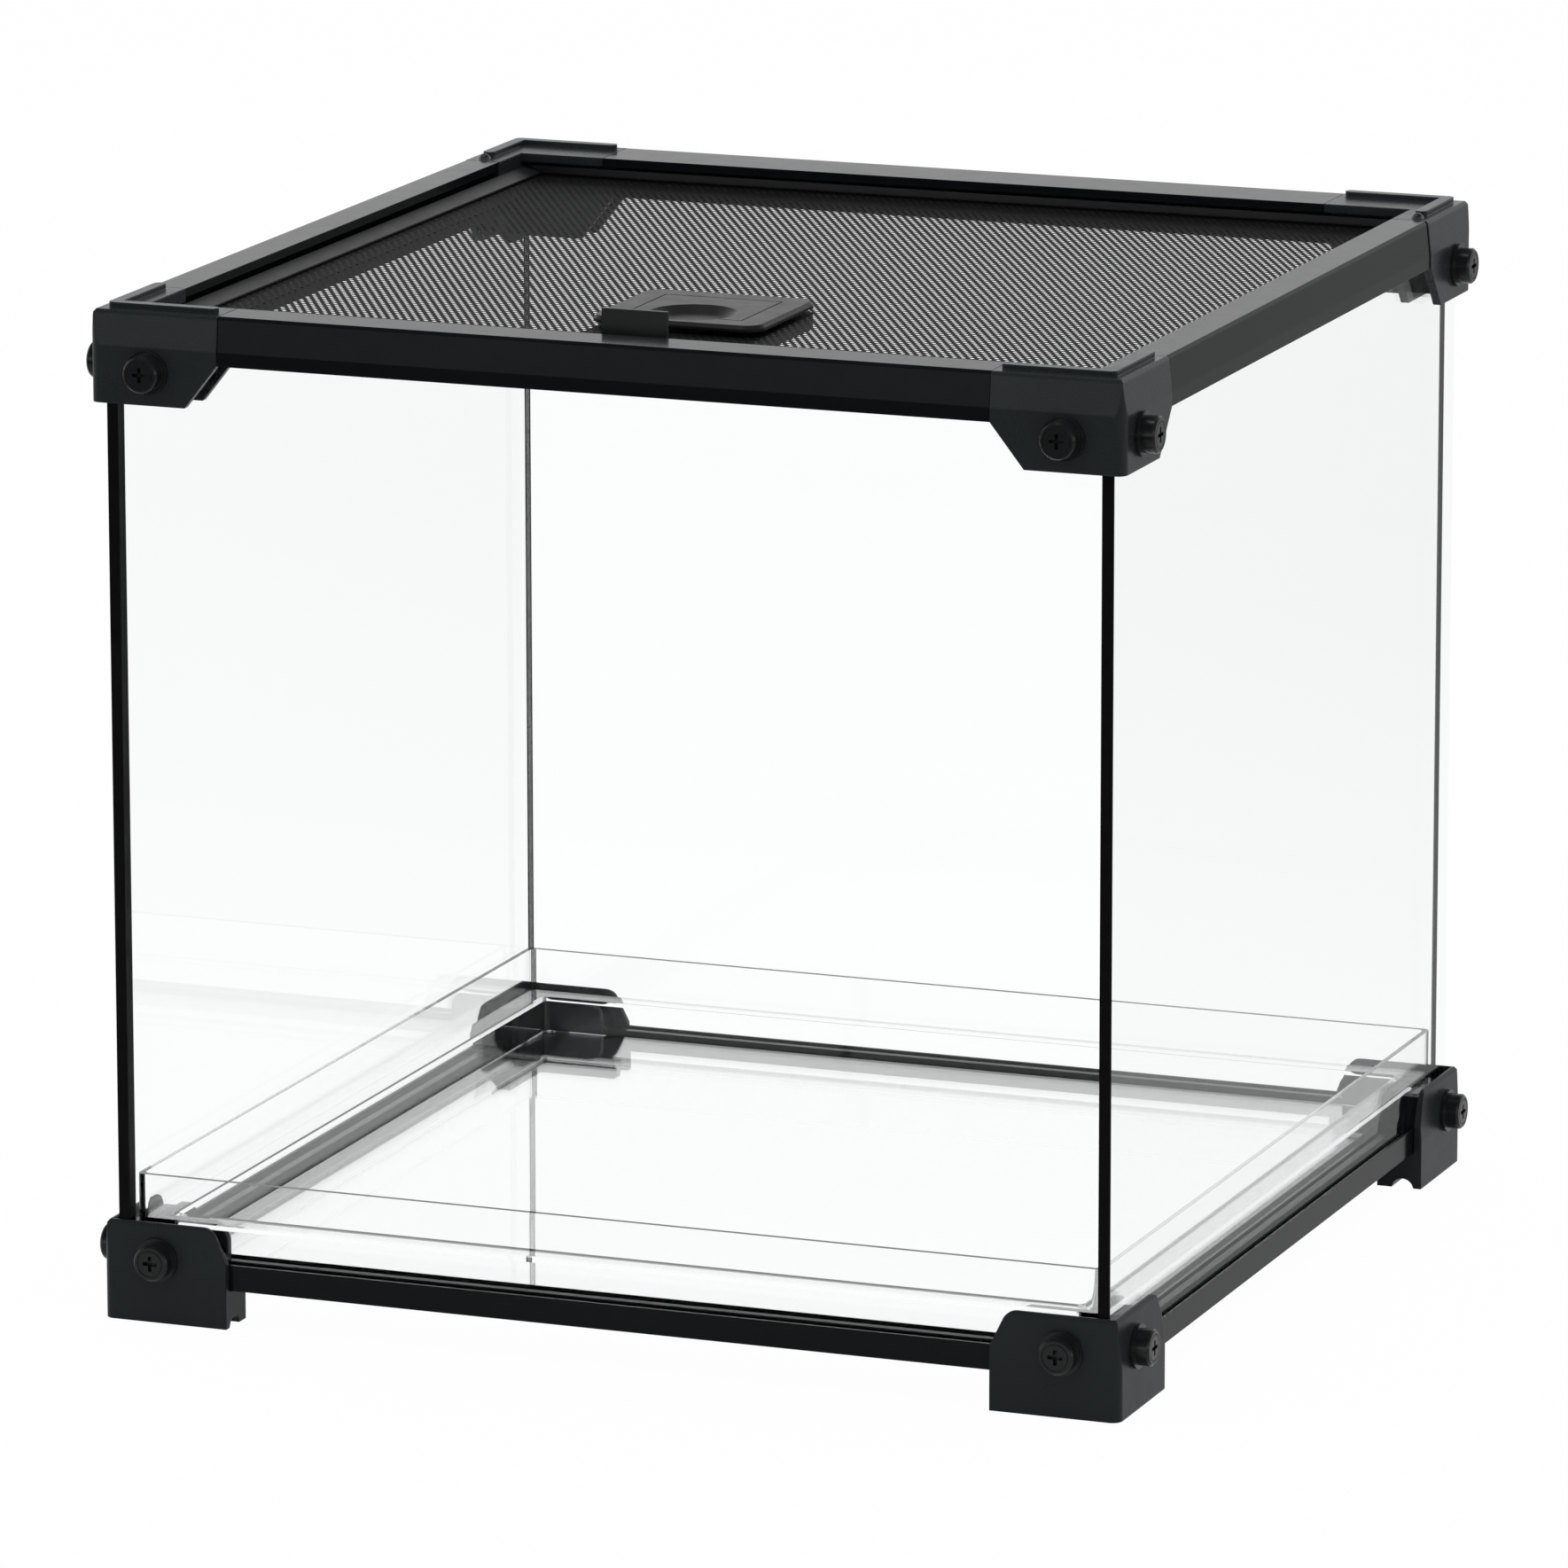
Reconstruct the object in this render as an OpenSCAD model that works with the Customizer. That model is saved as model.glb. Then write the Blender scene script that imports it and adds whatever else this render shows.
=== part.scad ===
// Knock-down glass terrarium: four corner pieces and four rails above, four feet and
// four rails below, four glass walls, a hinged screen lid with a slide latch, a tray.
// Millimetres, +Z up, origin at the centre of the footprint, front towards -Y.

/* [Tank] */
// Outer width over the corner pieces
tank_w = 310; // [260:5:600]
// Outer depth over the corner pieces
tank_d = 310; // [260:5:600]
// Height from the ground to the flat top of the frame
tank_h = 295; // [200:1:500]

/* [Glass] */
// Thickness of the glass walls and of the base panel
glass_t = 3; // [2:0.5:3.5]
// Depth of the glass walls behind the outer faces of the corners
glass_inset = 4; // [3.8:0.1:4.4]
// Free play of a pane in its slot, each side
slot_gap = 0.4; // [0.3:0.05:0.6]
// Thickness of the soft gasket under each glass wall
gasket_t = 0.35; // [0.2:0.05:0.4]
// Width of the seal between neighbouring panes
seal_w = 0.4; // [0.3:0.1:0.8]
// Thickness of the seal over the front edges of the side panes
seal_cap = 0.6; // [0.4:0.1:0.7]
// How far the glass stays out of sight behind the corner pieces
hide = 2; // [1.5:0.1:2.4]

/* [Corner pieces] */
// Wall thickness of the corner pieces and feet
wall = 2.4; // [1.8:0.1:2.8]
// Radius of the upright outer edge
edge_r = 3; // [1:0.5:6]
// How far the upper band of the outer faces leans inwards
lean = 1.2; // [0.4:0.1:2]
// Play between parts that slot together
fit_gap = 0.2; // [0.1:0.05:0.4]
// Height of a top corner piece
skirt_h = 26.7; // [24:0.5:40]
// Length of a top corner arm
top_arm = 39.2; // [36:0.2:60]
// Width of the slanted end under a top corner arm
top_slant_w = 10; // [6:0.5:14]
// Width of the top face at the sides
side_arm_w = 12.4; // [11.8:0.2:16]
// Width of the top face at the front
front_arm_w = 15; // [14:0.2:20]
// Width of the top face at the back, over the rear edge of the lid
rear_flange_w = 21.6; // [19:0.2:30]
// Thickness of the thin top flange
flange_t = 2.6; // [2:0.1:3.2]
// Thickness of the solid roof of a top corner
roof_t = 6; // [5:0.5:6]

/* [Feet] */
// Height of a foot
foot_h = 29.2; // [28:0.2:50]
// Length of a foot arm
foot_arm = 38.5; // [36:0.5:60]
// Width of a foot arm
foot_arm_w = 13.8; // [13:0.2:18]
// Height of the slanted shoulder at the end of a foot arm
shoulder_h = 10.2; // [8:0.1:12]
// Width of that shoulder
shoulder_w = 7.5; // [4:0.5:8]
// Radius at the top of the shoulder
shoulder_r = 4.2; // [1:0.2:5]
// Height of the solid floor that carries the rails
foot_floor_h = 10.8; // [8:0.5:12]
// Height of the band of a foot that leans inwards
foot_band_h = 14.4; // [5:0.2:15]
// Height of the inner wall of a foot
foot_inner_h = 26.9; // [25:0.1:28]
// Length of the inner wall of a foot
foot_inner_arm = 34.2; // [30:0.2:34.6]

/* [Stacking ribs] */
// Distance of the rib centre line from the outer faces
rib_inset = 5.8; // [5:0.2:7]
// Width of a rib
rib_w = 3.6; // [2.5:0.1:4]
// Height of a rib
rib_h = 1.6; // [1:0.1:2.2]
// Length of a rib leg
rib_leg = 37.6; // [25:0.2:38]
// Length of the rear rib legs that end at a screw
rib_leg_rear = 32.6; // [25:0.2:33]
// Width of the groove under a foot that takes a rib
groove_w = 6.9; // [5:0.1:7]
// Height of that groove
groove_h = 2.8; // [2.4:0.1:4]

/* [Rails] */
// Height of a top rail
top_rail_h = 14.1; // [12.5:0.1:18]
// How far a top rail lies behind the corner faces
rail_step = 0.3; // [0.1:0.1:0.6]
// Height of the upper band that leans inwards
band_h = 10.1; // [7:0.1:12]
// Height of the small bevel at the top outer edge
bevel_h = 0.9; // [0.5:0.1:1.2]
// Depth of the glass slot in a top rail
top_slot_h = 6.3; // [4:0.1:6.5]
// Height of the solid strike under the front flange
strike_h = 7.4; // [6.8:0.1:7.6]
// Thickness of the wall between the glass slot and the lid
rail_web = 2.2; // [1.6:0.1:2.4]
// Reach of the ledge that the lid rests on
lid_ledge_w = 18.4; // [17.6:0.2:20]
// Height of the outer lip of a bottom rail
lip_h = 7.5; // [6.8:0.1:7.8]
// Thickness of that lip
lip_t = 1; // [0.8:0.1:1]
// Extra height of the inner lip
inner_lip_up = 0; // [0:0.1:4]
// Thickness of the floor of the bottom glass slot
slot_floor = 1.5; // [1:0.1:2]
// Reach of the ledge under the base panel, from the outer faces
base_ledge_w = 19.6; // [18:0.2:24]
// Thickness of that ledge
base_ledge_t = 2.5; // [1.5:0.1:3]
// Length of the tongue root inside a rail
tongue_root = 4; // [3:0.5:6]
// Play between a tongue and the glass next to it
tongue_play = 1.2; // [0.8:0.1:1.5]
// Length by which a bottom rail starts inside the foot
rail_in_foot = 3; // [2:0.2:3.6]

/* [Screws] */
// Upper screw distance from the outer side on the front and back
screw_in_front = 17.8; // [17.4:0.1:19]
// Lower screw distance from the outer side on the front and back
screw_in_foot = 17.1; // [17:0.1:19]
// Screw distance from the front and back on the sides
screw_in_side = 14.3; // [14.1:0.1:15.5]
// Depth of the upper screws under the top of the frame
screw_drop = 17.1; // [16.8:0.1:17.6]
// Height of the lower screws above the ground
screw_rise = 18.8; // [18.4:0.1:19.4]
// Radius of the screw flange
flange_r = 6.4; // [5.8:0.1:7]
// Thickness of the screw flange
flange_disc_t = 1.2; // [0.8:0.1:2]
// Radius of the screw head
head_r = 5.3; // [4.5:0.1:5.6]
// Height of the head over the wall, flange included
head_h = 5.4; // [4.5:0.1:8]
// Radius of the screw shank
shank_r = 2; // [1.5:0.1:2]
// Length of the shank behind the wall face
shank_l = 9.2; // [8.8:0.1:9.4]
// Width of the cross recess
cross_w = 4.4; // [3:0.2:5]
// Width of a slot of the cross recess
cross_slot = 1.1; // [0.8:0.1:1.4]
// Depth of the cross recess
cross_depth = 1.6; // [1:0.1:3]
// Radius of the ring groove in the head face
ring_r = 3.8; // [3.2:0.1:4.2]
// Width of that groove
ring_w = 0.3; // [0.2:0.05:0.4]
// Depth of that groove
ring_h = 0.3; // [0.1:0.05:0.4]
// Bevel round the top of a screw head
head_bevel = 0.6; // [0.3:0.1:0.8]
// Width of a captive nut
nut_w = 7; // [6.5:0.5:7]
// Thickness of a captive nut
nut_t = 3; // [2.4:0.1:3.2]
// Depth of the nuts behind the outer faces
nut_in = 5.4; // [5:0.1:5.6]
// Wall of the tongue beyond the nut
nut_wall = 1.8; // [1.4:0.1:2]
// Distance of the two roof screws from the back
roof_screw_in = 34.5; // [34.5:0.1:36]
// Radius of the domed head of the two roof screws
dome_r = 1.9; // [1.5:0.1:2]
// Height of that domed head
dome_h = 1.5; // [1:0.1:2]
// Radius of the shank of a roof screw
roof_shank_r = 1.1; // [0.8:0.1:1.3]

/* [Lid] */
// Gap between the lid and the frame at the sides and front
lid_gap = 0.6; // [0.5:0.1:1]
// Gap between the closed lid and its ledge
lid_seat = 0.4; // [0.3:0.1:0.8]
// Gap behind the rear edge of the lid
lid_gap_rear = 0.8; // [0.75:0.05:1]
// Depth of the top of the lid under the top of the frame
lid_drop = 4; // [3.6:0.1:4.2]
// Height of the lid frame
lid_h = 6.6; // [6.2:0.1:6.8]
// Width of the side bars
side_bar_w = 5.6; // [5.2:0.2:8]
// Width of the front bar
front_bar_w = 9.4; // [8:0.2:12]
// Width of the rear bar
rear_bar_w = 2.8; // [2.6:0.1:4]
// Thickness of the outer wall of the bars
bar_wall = 3.4; // [3.2:0.1:3.8]
// Thickness of the outer wall of the rear bar
rear_bar_wall = 1.4; // [1.2:0.1:1.6]
// Fall of the top of the side bars towards the screen
bar_fall = 1.6; // [0:0.1:1.8]
// Height of the part of the bars above the screen
bar_top_t = 2.2; // [2:0.1:2.4]
// Thickness of the screen
screen_t = 0.6; // [0.3:0.1:0.8]
// Number of openings across the screen, each way
screen_n = 11; // [5:2:11]
// Width of the bars between them
screen_bar = 5; // [3:0.5:8]
// Width of the frame that holds the screen from below
retainer_w = 3.6; // [2.5:0.1:5]
// Height of that frame
retainer_h = 3; // [2:0.1:3.1]

/* [Hinge] */
// Distance of the hinge axis in front of the rear flange edge
hinge_ahead = 4; // [3.6:0.1:5]
// Depth of the hinge axis under the top of the lid
hinge_drop = 3; // [2.8:0.1:3.2]
// Radius of a hinge pin
pin_r = 1.5; // [1.2:0.1:1.6]
// Running clearance of a hinge pin in its bearing, on the radius
pin_play = 0.08; // [0.04:0.01:0.1]

/* [Latch] */
// Width of the latch plate
plate_w = 52; // [44:1:60]
// Depth of the latch plate, front to back
plate_d = 48; // [40:1:50]
// Distance of the latch plate from the front of the tank
plate_y = 56; // [54:0.5:60]
// Thickness of the latch plate
plate_t = 1.8; // [1.4:0.1:2]
// Bevel round its top
plate_bevel = 1; // [0.4:0.1:1.2]
// Corner radius of the latch plate
plate_r = 6; // [3:0.5:8]
// Gap between the latch plate and the screen
plate_lift = 1.2; // [0.8:0.1:1.4]
// Radius of the thumb dish at its rim
dish_r = 12.8; // [10:0.2:13]
// Radius of the floor of the dish
dish_floor_r = 9.4; // [7:0.2:9.8]
// Depth of the thumb dish
dish_h = 2.1; // [1.8:0.1:3.4]
// Distance of the dish centre behind the front edge of the plate
dish_y = 15.5; // [15.5:0.5:20]
// Wall round the thumb dish
dish_wall = 1.4; // [1:0.1:1.6]
// Margin of the inlaid line on the plate
line_margin = 8; // [6:0.5:9]
// Width of that line
line_w = 0.5; // [0.3:0.1:0.8]
// Width of the bolt
bolt_w = 20; // [14:1:24]
// Thickness of the bolt
bolt_t = 2; // [1.6:0.1:2.2]
// Gap between the front of the frame and the drawn bolt
bolt_back = 0.8; // [0.5:0.1:1.5]
// Length of the bolt behind the dish centre
bolt_tail = 8; // [6:0.5:10]
// Travel of the latch towards the front, where it locks
latch_travel = 4.2; // [3.5:0.1:4.2]
// Play round the bolt
bolt_play = 0.4; // [0.3:0.05:0.5]
// Play beside the bolt in the gap of the front ledge
bolt_gap_play = 2; // [1:0.5:5]
// Width of the latch housing under the screen
housing_w = 51; // [44:1:70]
// Depth of the latch housing, front to back
housing_d = 86; // [80:1:90]
// Thickness of its floor under the bolt
housing_floor = 1; // [0.8:0.1:1.2]
// Width of the upright lifting tab
tab_w = 19.6; // [15:0.2:30]
// Height of the tab above the lid
tab_h = 9; // [5:0.1:12]
// Thickness of the tab
tab_t = 1.6; // [1.2:0.1:2.5]
// Distance of the tab from the front of the tank
tab_y = 27.2; // [26.5:0.1:30]
// Thickness of the foot of the tab, which spans the bolt
tab_foot_t = 0.5; // [0.4:0.05:0.5]
// Length of that foot that rests on the housing, each side
tab_rest = 4; // [2:0.5:5]

/* [Tray and base] */
// Gap between the base panel and the feet
base_gap = 0.5; // [0.3:0.1:0.8]
// Thickness of the tray walls and floor
tray_t = 1.6; // [1.2:0.1:2.5]
// Height of the tray rim above the ground
tray_rim = 41.7; // [36:0.1:80]
// Gap between the tray and the glass walls
tray_gap = 0.5; // [0.45:0.05:1]
// Gap between the lower part of the tray and the feet
tray_foot_gap = 1; // [0.5:0.1:2]
// Corner radius of the tray
tray_r = 2; // [1:0.5:4]

/* [Hidden] */
$fn = 48;
over = 2;       // how far a cutter runs past a face
sink = 0.5;     // how far solids of one piece run into each other
CORNERS = ["front_left", "front_right", "back_left", "back_right"];
SIDES = ["front", "right", "back", "left"];
plastic = [0.10, 0.10, 0.11];
soft_black = [0.04, 0.04, 0.04];
glass = [0.85, 0.93, 0.92, 0.3];
clear = [0.9, 0.92, 0.93, 0.3];
steel = [0.6, 0.6, 0.62];

// Heights of the frame
skirt_z = tank_h - skirt_h;
roof_z = tank_h - roof_t;
top_rail_z = tank_h - top_rail_h;
top_slot_z = top_rail_z + top_slot_h;
top_screw_z = tank_h - screw_drop;
roof_shank_in = roof_t / 2;     // how far a roof screw reaches into the rail
roof_bore_h = skirt_h / 3;      // depth of its bore there
bottom_rail_z = foot_floor_h + fit_gap;
bottom_slot_z = bottom_rail_z + slot_floor;
lip_z = bottom_rail_z + lip_h;

// Depths behind the outer faces
slot_out = glass_inset - slot_gap;
slot_in = glass_inset + glass_t + slot_gap;
web_in = slot_in + rail_web;
tongue_out = wall + fit_gap;
foot_tongue_in = foot_arm_w - wall - fit_gap;

// The slanted end of a top arm and the shoulder of a foot, in an outer face
slant_toe = [top_arm - top_slant_w, skirt_z];
slant_heel = [top_arm, top_rail_z];
shoulder_toe = [foot_arm, foot_h - shoulder_h];
shoulder_mid = [foot_arm - shoulder_w, foot_h - shoulder_r];

// The edges of the glass that run behind them
top_root = top_arm + tongue_root;
foot_root = foot_arm + tongue_root;
glass_low = foot_h - hide;
toe_in = 0.8 * hide;    // how far the toe of a pane lies behind the end of a foot
toe_drop = 1;           // how far it lies below the lip of the bottom rail
glass_shoulder = shoulder_mid[0] - toe_drop;
glass_toe = [foot_arm - toe_in, lip_z - toe_drop];
glass_high = skirt_z + hide;
glass_base = bottom_slot_z + gasket_t;
glass_top = top_slot_z - slot_gap;
side_pane_y = glass_inset - seal_cap;
front_pane_x = glass_inset + glass_t + seal_w;

// Lid and hinge
lid_top = tank_h - lid_drop;
lid_z = lid_top - lid_h;
screen_top = lid_top - bar_top_t;
screen_z = screen_top - screen_t;
lid_side = side_arm_w + lid_gap;
lid_front = front_arm_w + lid_gap;
lid_rear = front_arm_w + lid_gap_rear;
screen_side = lid_side + bar_wall + fit_gap;
screen_front = lid_front + bar_wall + fit_gap;
screen_rear = lid_rear + rear_bar_wall + fit_gap;
grid_side = max(lid_side + side_bar_w, screen_side + retainer_w);
grid_front = max(lid_front + front_bar_w, screen_front + retainer_w);
grid_rear = max(lid_rear + rear_bar_w, screen_rear + retainer_w);
grid_step = [(tank_w - 2 * grid_side) / screen_n, (tank_d - grid_front - grid_rear) / screen_n];
hinge_in = rear_flange_w + hinge_ahead;
hinge_z = lid_top - hinge_drop;
pin_seat_gap = fit_gap / 4;     // play of the hinge pins where they are fixed in the lid

// Latch
strike_z = tank_h - strike_h;
bolt_top = strike_z - bolt_play;
bolt_z = bolt_top - bolt_t;
channel_z = bolt_z - bolt_play;
housing_z = channel_z - housing_floor;
housing_top = screen_z - fit_gap;
housing_y = lid_front + bar_wall;
bolt_y = front_arm_w + bolt_back;
plate_z = screen_top + plate_lift;
plate_top = plate_z + plate_t;
dish_at = plate_y + dish_y;
block_r = dish_floor_r + dish_wall;
tab_foot_z = screen_z - fit_gap / 2 - tab_foot_t;
tab_foot_x = bolt_w / 2 + bolt_play + tab_rest;
tab_foot_out = tab_t / 2;       // how far the foot stands out before and behind the tab

// Base panel and tray
base_in = foot_arm_w + base_gap;
base_z = bottom_rail_z + base_ledge_t;
tray_z = base_z + glass_t;
tray_step_z = foot_inner_h + fit_gap;
tray_low = foot_arm_w + tray_foot_gap;
tray_high = glass_inset + glass_t + tray_gap;

// ---- Placing ----

function is_long(s) = s == "front" || s == "back";
function side_len(s) = is_long(s) ? tank_w : tank_d;
function top_screw_in(s) = is_long(s) ? screw_in_front : screw_in_side;
function foot_screw_in(s) = is_long(s) ? screw_in_foot : screw_in_side;

module flip(axis, on) {
    if (on) mirror(axis) children();
    else children();
}

// A child drawn along +X with its outer face at y = 0. Front and back run from left to
// right, the two sides from front to back.
module on_side(s) {
    flip([0, 1, 0], s == "back")
        flip([1, 0, 0], s == "left")
            if (is_long(s))
                translate([-tank_w / 2, -tank_d / 2, 0]) children();
            else
                translate([tank_w / 2, -tank_d / 2, 0]) rotate([0, 0, 90]) children();
}

// A child drawn at the front left corner, with its arms along +X and +Y
module at_corner(c) {
    flip([1, 0, 0], c == "front_right" || c == "back_right")
        flip([0, 1, 0], c == "back_left" || c == "back_right")
            translate([-tank_w / 2, -tank_d / 2, 0])
                children();
}

module at_both_ends(len) {
    children();
    translate([len, 0, 0]) mirror([1, 0, 0]) children();
}

module on_both_arms() {
    children();
    mirror([1, -1, 0]) children();
}

module slab(x0, x1, y0, y1, z0, z1) {
    translate([x0, y0, z0]) cube([x1 - x0, y1 - y0, z1 - z0]);
}

// A block set back from the outer faces of the tank
module inset_block(side, front, rear, z0, z1) {
    slab(side - tank_w / 2, tank_w / 2 - side, front - tank_d / 2, tank_d / 2 - rear, z0, z1);
}

// An outline in an outer face, given thickness from depth y0 to y1
module upright(y0, y1) {
    translate([0, y1, 0]) rotate([90, 0, 0]) linear_extrude(y1 - y0) children();
}

// An outline across a rail, drawn along X
module along_x(x0, x1) {
    translate([x0, 0, 0]) rotate([90, 0, 90]) linear_extrude(x1 - x0) children();
}

module round_rect(w, d, r) {
    square([w - 2 * r, d], center = true);
    square([w, d - 2 * r], center = true);
    for (x = [-1, 1], y = [-1, 1])
        translate([x * (w / 2 - r), y * (d / 2 - r)]) circle(r);
}

// ---- Shapes shared by the corner pieces ----

// A flat L, wide_x across its arm along X and wide_y across its arm along Y
module flat_l(arm, wide_x, wide_y) {
    translate([edge_r, edge_r]) circle(edge_r);
    translate([edge_r, 0]) square([arm - edge_r, wide_x]);
    translate([0, edge_r]) square([wide_y, arm - edge_r]);
}

module flat_outer_wall(arm) {
    difference() {
        flat_l(arm, wall, wall);
        translate([wall, wall]) square(arm);
    }
}

// Cuts the outer face back where it leans inwards, and bevels its top edge
module lean_cut(x0, x1, low, high, inset) {
    bevel_out = lean - bevel_h / 4;
    bevel_in = lean + bevel_h / 2;
    along_x(x0 - over, x1 + over)
        translate([inset, 0])
            polygon([
                [-over, low], [0, low], [bevel_out, high - bevel_h],
                [bevel_in, high], [bevel_in, high + over], [-over, high + over]
            ]);
}

module bore(x, y, z, r, depth) {
    translate([x, y, z]) rotate([-90, 0, 0]) cylinder(r = r, h = depth);
}

module wall_bore(x, z) {
    bore(x, -over, z, shank_r + fit_gap, wall + 2 * over);
}

// ---- Top corners ----

module slant_cut() {
    upright(-over, rear_flange_w + over)
        polygon([
            slant_toe, slant_heel, slant_heel + [over, 0],
            [top_arm + over, skirt_z - over], slant_toe - [0, over]
        ]);
}

module flat_rib(leg_x, leg_y) {
    end_x = leg_x - rib_w / 2;
    end_y = leg_y - rib_w / 2;
    for (p = [[rib_inset, rib_inset], [end_x, rib_inset], [rib_inset, end_y]])
        translate(p) circle(d = rib_w);
    translate([rib_inset, rib_inset - rib_w / 2]) square([end_x - rib_inset, rib_w]);
    translate([rib_inset - rib_w / 2, rib_inset]) square([rib_w, end_y - rib_inset]);
}

module at_roof_screw() {
    translate([rib_inset, roof_screw_in, roof_z]) children();
}

module top_corner(rear) {
    color(plastic)
        difference() {
            union() {
                translate([0, 0, skirt_z]) linear_extrude(skirt_h) flat_outer_wall(top_arm);
                translate([0, 0, roof_z]) linear_extrude(roof_t) flat_l(top_arm, front_arm_w, side_arm_w);
                slab(side_arm_w - wall, top_arm, front_arm_w - wall, front_arm_w, skirt_z, roof_z + sink);
                slab(side_arm_w - wall, side_arm_w, front_arm_w - wall, top_arm, skirt_z, roof_z + sink);
                if (rear)
                    slab(side_arm_w - wall, top_arm, front_arm_w - wall, rear_flange_w,
                         tank_h - flange_t, tank_h);
                translate([0, 0, tank_h - sink])
                    linear_extrude(rib_h + sink) flat_rib(rib_leg, rear ? rib_leg_rear : rib_leg);
            }
            on_both_arms() {
                lean_cut(0, top_arm, tank_h - band_h, tank_h, 0);
                slant_cut();
            }
            wall_bore(screw_in_front, top_screw_z);
            mirror([1, -1, 0]) wall_bore(screw_in_side, top_screw_z);
            if (rear) {
                translate([web_in, hinge_in, hinge_z])
                    rotate([0, 90, 0]) cylinder(r = pin_r + pin_play, h = wall + 2 * over);
                at_roof_screw()
                    translate([0, 0, -over]) cylinder(r = roof_shank_r + fit_gap, h = roof_t + 2 * over);
            }
        }
}

// ---- Feet ----

// Where a line from p touches a circle from above
function touch(p, c, r) =
    let (v = c - p, d = norm(v), a = atan2(v[1], v[0]) - asin(r / d), l = sqrt(d * d - r * r))
    p + l * [cos(a), sin(a)];

// Cuts away what lies beyond the rounded shoulder of a foot arm
module shoulder_cut() {
    upright(-over, foot_arm_w + over)
        difference() {
            translate([shoulder_mid[0], shoulder_toe[1]]) square([shoulder_w + over, foot_h]);
            translate(shoulder_mid) circle(shoulder_r);
            polygon([
                shoulder_toe, touch(shoulder_toe, shoulder_mid, shoulder_r), shoulder_mid,
                [shoulder_mid[0] - over, shoulder_mid[1]], [shoulder_mid[0] - over, shoulder_toe[1]]
            ]);
        }
}

// Half-round groove under a foot arm, which takes a rib of the tank below
module groove_cut() {
    r = groove_w / 2;
    along_x(rib_inset - r, foot_arm + over)
        translate([rib_inset, groove_h - r]) {
            circle(r);
            translate([-r, -groove_h - over]) square([groove_w, groove_h + over]);
        }
}

module foot_inner_wall() {
    upright(foot_arm_w - wall, foot_arm_w) {
        translate([foot_inner_arm - shoulder_r, foot_inner_h - shoulder_r]) circle(shoulder_r);
        translate([foot_arm_w - wall, foot_floor_h - sink])
            square([foot_inner_arm - foot_arm_w + wall, foot_inner_h - shoulder_r - foot_floor_h + sink]);
        translate([foot_arm_w - wall, foot_floor_h])
            square([foot_inner_arm - foot_arm_w + wall - shoulder_r, foot_inner_h - foot_floor_h]);
    }
}

// Flat round pad that carries a screw flange on the leaning band
module screw_pad(x) {
    translate([x, 0, screw_rise]) rotate([-90, 0, 0]) cylinder(r = flange_r + fit_gap, h = wall);
}

module foot() {
    color(plastic)
        difference() {
            union() {
                difference() {
                    union() {
                        linear_extrude(foot_h) flat_outer_wall(foot_arm);
                        linear_extrude(foot_floor_h) flat_l(foot_arm, foot_arm_w, foot_arm_w);
                        on_both_arms() foot_inner_wall();
                    }
                    on_both_arms() {
                        lean_cut(0, foot_arm, foot_h - foot_band_h, foot_h, 0);
                        shoulder_cut();
                        groove_cut();
                    }
                }
                screw_pad(screw_in_foot);
                mirror([1, -1, 0]) screw_pad(screw_in_side);
            }
            wall_bore(screw_in_foot, screw_rise);
            mirror([1, -1, 0]) wall_bore(screw_in_side, screw_rise);
        }
}

// ---- Rails ----

module nut_pocket(x, z, toward) {
    play = fit_gap / 2;
    slab(x - nut_w / 2 - play, x + nut_w / 2 + play, nut_in - play, nut_in + nut_t + play,
         z - (toward < 0 ? skirt_h : nut_w / 2 + play), z + (toward > 0 ? skirt_h : nut_w / 2 + play));
}

// The tongue at the end of a top rail, which slides up into a corner piece
module top_tongue(screw_x) {
    start = screw_x - nut_w / 2 - nut_wall;
    low = glass_high + tongue_play;
    difference() {
        upright(tongue_out, web_in)
            polygon([
                [start, low], [slant_toe[0], low], [slant_heel[0], top_rail_z + hide + tongue_play],
                [top_root, top_rail_z + hide + tongue_play], [top_root, roof_z - fit_gap],
                [start, roof_z - fit_gap]
            ]);
        bore(screw_x, 0, top_screw_z, shank_r + fit_gap / 2, front_arm_w);
        nut_pocket(screw_x, top_screw_z, -1);
    }
}

// Gap in the front ledge, under the strike that the bolt reaches
module bolt_gap(x) {
    half = bolt_w / 2 + bolt_gap_play;
    slab(x - half, x + half, web_in, lid_ledge_w + over, top_rail_z - over, strike_z);
}

// The section of a top rail: web, flange, ledge for the lid and the slot of the pane
module flat_top_rail(s) {
    reach = s == "back" ? rear_flange_w : s == "front" ? front_arm_w : side_arm_w;
    flange = s == "front" ? strike_h : flange_t;
    difference() {
        union() {
            translate([rail_step, top_rail_z]) square([web_in - rail_step, top_rail_h]);
            translate([rail_step, tank_h - flange]) square([reach - rail_step, flange]);
            if (s != "back")
                translate([slot_in, top_rail_z])
                    square([lid_ledge_w - slot_in, lid_z - lid_seat - top_rail_z]);
        }
        translate([slot_out, top_rail_z - over]) square([slot_in - slot_out, top_slot_h + over]);
    }
}

module top_rail(s) {
    len = side_len(s);
    x0 = top_arm + fit_gap;
    color(plastic)
        on_side(s)
            difference() {
                union() {
                    difference() {
                        along_x(x0, len - x0) flat_top_rail(s);
                        lean_cut(x0, len - x0, tank_h - band_h, tank_h, rail_step);
                        if (s == "front") bolt_gap(len / 2);
                    }
                    at_both_ends(len) top_tongue(top_screw_in(s));
                }
                if (!is_long(s))
                    translate([len, 0, 0])
                        rotate([0, 0, 90])
                            at_roof_screw()
                                translate([0, 0, -roof_bore_h])
                                    cylinder(r = roof_shank_r + fit_gap / 2, h = roof_bore_h);
            }
}

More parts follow.
